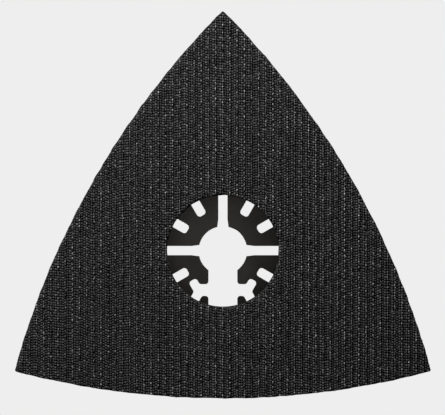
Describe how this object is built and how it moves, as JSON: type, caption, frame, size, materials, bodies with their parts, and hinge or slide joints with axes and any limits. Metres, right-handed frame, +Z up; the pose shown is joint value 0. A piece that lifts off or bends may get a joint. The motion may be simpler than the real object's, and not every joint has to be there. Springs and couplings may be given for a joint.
{
  "type": "delta sanding pad",
  "caption": "Three-sided sanding pad with bulging sides: a hook cloth and foam cushion on a ribbed plate, riveted to a dished steel hub that clamps on an oscillating tool's arbor.",
  "frame": {"origin": "middle of the triangle's box, on the plane of the working face; the hub's axis stands at x 0, y -10.27 mm", "axes": "+Z up, from the working face towards the machine; +Y towards the tip opposite the open slot; +X across the base"},
  "size_m": [0.0928, 0.0864, 0.0182],
  "materials": {
    "hook_nylon": "black woven hook cloth",
    "adhesive_film": "dark bonding film",
    "foam": "die-cut black closed-cell foam",
    "moulded_nylon": "fine-textured black glass-filled nylon",
    "coated_steel": "matte black electrocoat on stamped steel",
    "plated_steel": "bright zinc plate"
  },
  "bodies": {
    "root": {"hook_cloth": "hook_nylon", "hook_adhesive": "adhesive_film", "foam_pad": "foam", "plate_adhesive": "adhesive_film", "backing_plate": "moulded_nylon", "arbor_plate": "coated_steel", "rivet_1": "plated_steel", "rivet_2": "plated_steel", "rivet_3": "plated_steel", "rivet_4": "plated_steel", "rivet_washer_1": "plated_steel", "rivet_washer_2": "plated_steel", "rivet_washer_3": "plated_steel", "rivet_washer_4": "plated_steel"}
  },
  "joints": []
}
